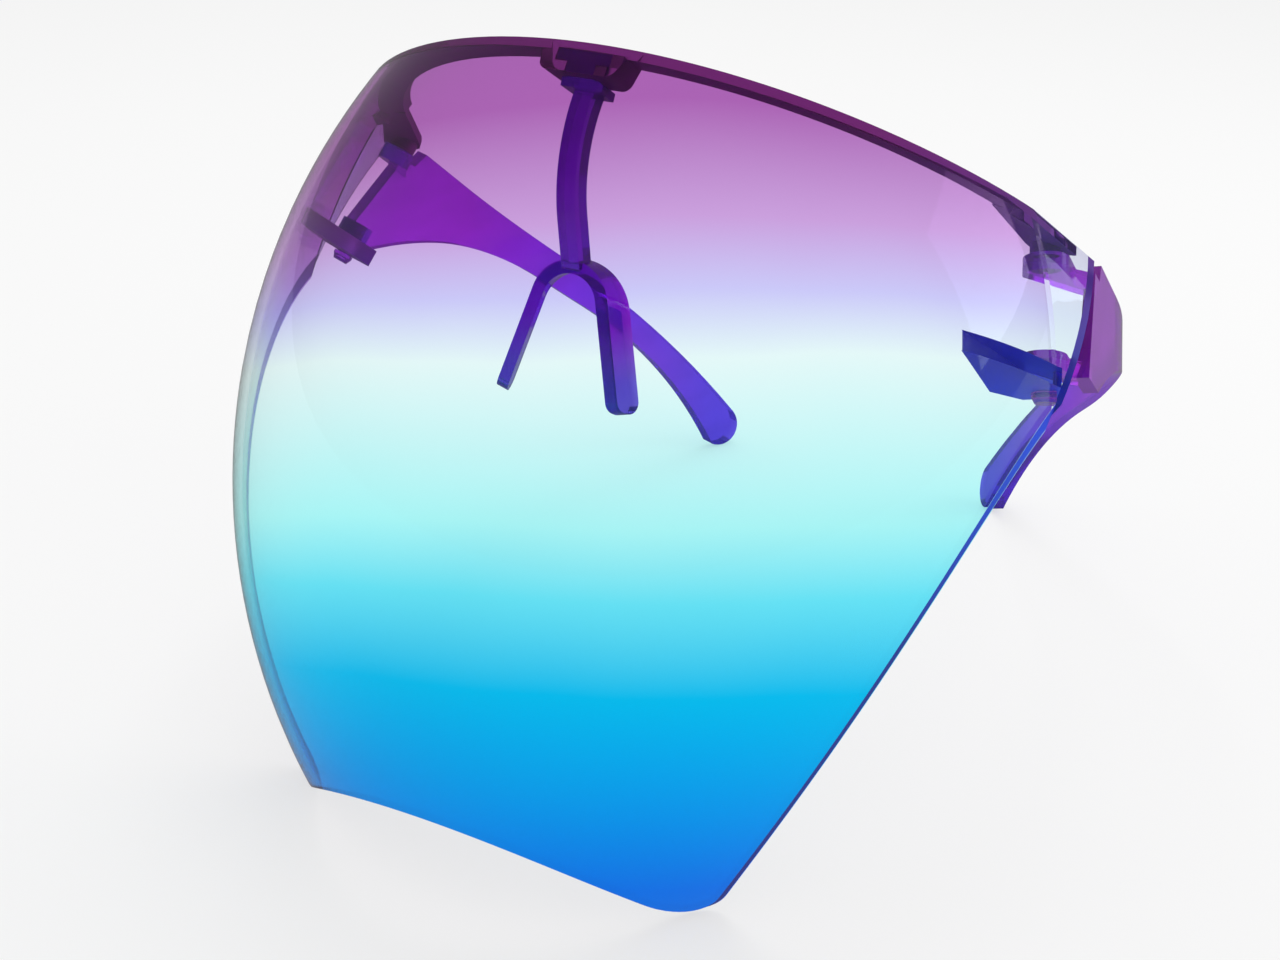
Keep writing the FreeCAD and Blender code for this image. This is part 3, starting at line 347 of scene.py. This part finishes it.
# Where the bridge turns from strut to pads, downwards, and a temple from panel to hook, backwards, in
# metres, and how fast each plastic takes up light along a ray.
BRIDGE_TURN, BRIDGE_DENSITY = (-0.096, -0.086), 290.0
TEMPLE_TURN, TEMPLE_DENSITY = (0.03, 0.1), 230.0


def tinted_polycarbonate(name, tints, way, turn, depth_tint, density):
    """Injection-moulded polycarbonate, coloured in the pellet.

    The colour turns from the first tint to the second between two places along a way, slight flow
    lines run through it, the skin is glossy, and the plastic is far deeper in colour where it is
    thick. A quarter of the light is scattered back, so the deepest parts stay violet, not black.
    """
    material = new_material(name)
    tree = material.node_tree
    place = add_node(tree, "ShaderNodeTexCoord").outputs["Object"]
    # flow lines, drawn out along the flow from the hinge
    along = add_node(
        tree, "ShaderNodeMapping", None, {"Scale": (1.0, 0.25, 1.0)}, {"Vector": place})
    flow = add_node(
        tree, "ShaderNodeTexNoise", None, {"Scale": pattern_scale(FLOW_WIDTH), "Detail": 3.0},
        {"Vector": along.outputs["Vector"]})
    shade = add_node(tree, "ShaderNodeValToRGB", links={"Fac": flow.outputs["Fac"]})
    fill_ramp(shade, [(0.25, (0.82, 0.82, 0.82)), (0.75, (1, 1, 1))])
    run = add_node(tree, "ShaderNodeVectorMath", {"operation": "DOT_PRODUCT"}, {1: way}, {0: place})
    share = add_node(
        tree, "ShaderNodeMapRange", None, {"From Min": turn[0], "From Max": turn[1]},
        {"Value": run.outputs["Value"]})
    turning = add_node(
        tree, "ShaderNodeMix", {"data_type": "RGBA"}, {"A": (*tints[0], 1), "B": (*tints[1], 1)},
        {"Factor": share.outputs["Result"]})
    colour = add_node(
        tree, "ShaderNodeMix", {"data_type": "RGBA", "blend_type": "MULTIPLY"}, {"Factor": 1.0},
        {"A": turning.outputs["Result"], "B": shade.outputs["Color"]})
    skin = add_node(
        tree, "ShaderNodeTexNoise", None, {"Scale": pattern_scale(POLISH_WIDTH), "Detail": 3.0},
        {"Vector": place})
    polish = add_node(
        tree, "ShaderNodeMapRange", None,
        {"From Min": 0.3, "From Max": 0.8, "To Min": 0.03, "To Max": 0.09},
        {"Value": skin.outputs["Fac"]})
    waves = add_node(
        tree, "ShaderNodeTexNoise", None, {"Scale": pattern_scale(WAVE_WIDTH), "Detail": 1.0},
        {"Vector": place})
    bump = add_node(
        tree, "ShaderNodeBump", None, {"Strength": 0.08, "Distance": 0.0003},
        {"Height": waves.outputs["Fac"]})
    shader = add_node(
        tree, "ShaderNodeBsdfPrincipled", None,
        {"IOR": 1.38, "Transmission Weight": 0.75, "Specular IOR Level": 0.4},
        {"Base Color": colour.outputs["Result"], "Roughness": polish.outputs["Result"],
         "Normal": bump.outputs["Normal"]})
    depth = add_node(
        tree, "ShaderNodeVolumeAbsorption", None, {"Color": (*depth_tint, 1), "Density": density})
    add_node(
        tree, "ShaderNodeOutputMaterial",
        links={"Surface": shader.outputs["BSDF"], "Volume": depth.outputs["Volume"]})
    return material


def dress(node, material):
    """Give a CAD node its finish."""
    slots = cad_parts[node].data.materials
    slots.clear()
    slots.append(material)


class VISOR_OT_lens(Operator):
    """Finish the lens in dip-dyed polycarbonate"""

    bl_idname = "visor.lens"
    bl_label = "Lens"

    def execute(self, context):
        dress("shield", dyed_polycarbonate(context.scene.visor_lens))
        return {"FINISHED"}


class VISOR_OT_nose_bridge(Operator):
    """Finish the nose bridge in deep violet plastic"""

    bl_idname = "visor.nose_bridge"
    bl_label = "Nose bridge"

    def execute(self, context):
        look = context.scene.visor_arms
        dress("nose_bridge", tinted_polycarbonate(
            "violet_bridge_plastic", (look.strut, look.pads), (0, 0, -1), BRIDGE_TURN,
            look.bridge_depth, BRIDGE_DENSITY))
        return {"FINISHED"}


class VISOR_OT_temples(Operator):
    """Finish both temples in clear violet plastic"""

    bl_idname = "visor.temples"
    bl_label = "Temples"

    def execute(self, context):
        look = context.scene.visor_arms
        plastic = tinted_polycarbonate(
            "violet_temple_plastic", (look.panel, look.hook), (0, 1, 0), TEMPLE_TURN,
            look.temple_depth, TEMPLE_DENSITY)
        for node in ("left_temple", "right_temple"):
            dress(node, plastic)
        return {"FINISHED"}


def seen_directly(tree, path):
    """Share of the rays that look at the background, straight or through the lens."""
    through = add_node(
        tree, "ShaderNodeMath", {"operation": "MAXIMUM"},
        links={0: path.outputs["Is Camera Ray"], 1: path.outputs["Is Transmission Ray"]})
    return through.outputs["Value"]


# The floor lies a hair below the feet, and this share of its brightness is its own white, which keeps
# the background even and the shadow soft.
FLOOR_SIZE, FLOOR_DROP = 8.0, 0.0004
FLOOR_GLOW = 0.7

# Each softbox: name, place, width and share of the main lamp's power. They point at the visor's middle.
SOFTBOXES = (
    ("main_softbox", (-0.15, 0.3, 0.9), 0.5, 1.0),
    ("side_softbox", (0.7, 0.45, 0.4), 0.4, 0.5),
)
LAMP_AIM = Vector((0, -0.03, 0.07))

# The camera: its place, its turn about the upright, rise above the level and roll in degrees, and its
# focal length and sensor in millimetres.
CAMERA_PLACE = (0.1434, -0.3126, 0.2057)
CAMERA_TURN, CAMERA_RISE, CAMERA_ROLL = 26.66, 25.7, 1.56
CAMERA_LENS, CAMERA_SENSOR = 49.2, 36.0


class VISOR_OT_studio(Operator):
    """Set up the paper floor, the lamps and the camera"""

    bl_idname = "visor.studio"
    bl_label = "Studio"

    def execute(self, context):
        scene = context.scene
        look = scene.visor_studio
        scene.view_settings.view_transform = "Standard"
        self.floor(look)
        self.sky(scene, look)
        self.lamps(look)
        self.camera(scene)
        return {"FINISHED"}

    def floor(self, look):
        bpy.ops.object.select_all(action="DESELECT")
        bpy.ops.mesh.primitive_plane_add(size=FLOOR_SIZE, location=(0, 0, -FLOOR_DROP))
        floor = bpy.context.active_object
        floor.name = "paper_floor"
        material = new_material("white_paper")
        tree = material.node_tree
        paper = add_node(tree, "ShaderNodeBsdfDiffuse", None, {"Color": (*look.paper, 1)})
        glow = add_node(
            tree, "ShaderNodeEmission", None, {"Color": (*look.paper, 1), "Strength": 1.0})
        path = add_node(tree, "ShaderNodeLightPath")
        share = add_node(
            tree, "ShaderNodeMath", {"operation": "MULTIPLY"}, {1: FLOOR_GLOW},
            {0: seen_directly(tree, path)})
        mix = add_node(
            tree, "ShaderNodeMixShader", None, None,
            {0: share.outputs["Value"], 1: paper.outputs["BSDF"], 2: glow.outputs["Emission"]})
        add_node(tree, "ShaderNodeOutputMaterial", links={"Surface": mix.outputs["Shader"]})
        floor.data.materials.append(material)
        floor.visible_glossy = False

    def sky(self, scene, look):
        world = scene.world or bpy.data.worlds.new("studio_sky")
        scene.world = world
        world.use_nodes = True
        tree = world.node_tree
        tree.nodes.clear()
        path = add_node(tree, "ShaderNodeLightPath")
        plain = add_node(
            tree, "ShaderNodeMapRange", None, {"To Min": look.sky, "To Max": 1.0},
            {"Value": seen_directly(tree, path)})
        # dark flags round the set keep the gloss from washing out the dye
        strength = add_node(
            tree, "ShaderNodeMix", {"data_type": "FLOAT"}, {"B": look.mirrored},
            {"Factor": path.outputs["Is Glossy Ray"], "A": plain.outputs["Result"]})
        background = add_node(
            tree, "ShaderNodeBackground", None, {"Color": (*look.paper, 1)},
            {"Strength": strength.outputs["Result"]})
        add_node(tree, "ShaderNodeOutputWorld", links={"Surface": background.outputs["Background"]})

    def lamps(self, look):
        for name, place, width, share in SOFTBOXES:
            aim = LAMP_AIM - Vector(place)
            bpy.ops.object.light_add(
                type="AREA", location=place, rotation=aim.to_track_quat("-Z", "Y").to_euler())
            lamp = bpy.context.active_object
            lamp.name = name
            lamp.data.size = width
            lamp.data.energy = look.lamp_power * share
            lamp.visible_glossy = False

    def camera(self, scene):
        turn, rise, roll = map(math.radians, (CAMERA_TURN, CAMERA_RISE, CAMERA_ROLL))
        back = Vector((
            math.sin(turn) * math.cos(rise), -math.cos(turn) * math.cos(rise), math.sin(rise)))
        level = Vector((math.cos(turn), math.sin(turn), 0))
        upward = back.cross(level)
        right = level * math.cos(roll) + upward * math.sin(roll)
        up = upward * math.cos(roll) - level * math.sin(roll)
        pose = Matrix((right, up, back)).transposed()
        bpy.ops.object.camera_add(location=CAMERA_PLACE, rotation=pose.to_euler())
        camera = bpy.context.active_object
        camera.name = "studio_camera"
        camera.data.sensor_width = CAMERA_SENSOR
        camera.data.lens = CAMERA_LENS
        camera.data.clip_start = 0.01
        scene.camera = camera


class VISOR_PT_panel(Panel):
    """Finishes of the visor and its studio"""

    bl_idname = "VISOR_PT_panel"
    bl_label = "Visor"
    bl_space_type = "VIEW_3D"
    bl_region_type = "UI"
    bl_category = "Visor"

    def draw(self, context):
        scene = context.scene
        for group in (scene.visor_lens, scene.visor_arms, scene.visor_studio):
            box = self.layout.box()
            for name in group.bl_rna.properties.keys():
                if name not in ("rna_type", "name"):
                    box.prop(group, name)
        for operator in OPERATORS:
            self.layout.operator(operator.bl_idname)


GROUPS = {"visor_lens": LensFinish, "visor_arms": ArmFinish, "visor_studio": StudioSettings}
OPERATORS = (VISOR_OT_lens, VISOR_OT_nose_bridge, VISOR_OT_temples, VISOR_OT_studio)


def register():
    for group in GROUPS.values():
        bpy.utils.register_class(group)
    for cls in (*OPERATORS, VISOR_PT_panel):
        bpy.utils.register_class(cls)
    for name, group in GROUPS.items():
        setattr(bpy.types.Scene, name, PointerProperty(type=group))


def unregister():
    for name in GROUPS:
        delattr(bpy.types.Scene, name)
    for cls in (VISOR_PT_panel, *reversed(OPERATORS), *reversed(GROUPS.values())):
        bpy.utils.unregister_class(cls)


def main():
    register()
    bpy.ops.visor.lens()
    bpy.ops.visor.nose_bridge()
    bpy.ops.visor.temples()
    bpy.ops.visor.studio()


if __name__ == "__main__":
    main()
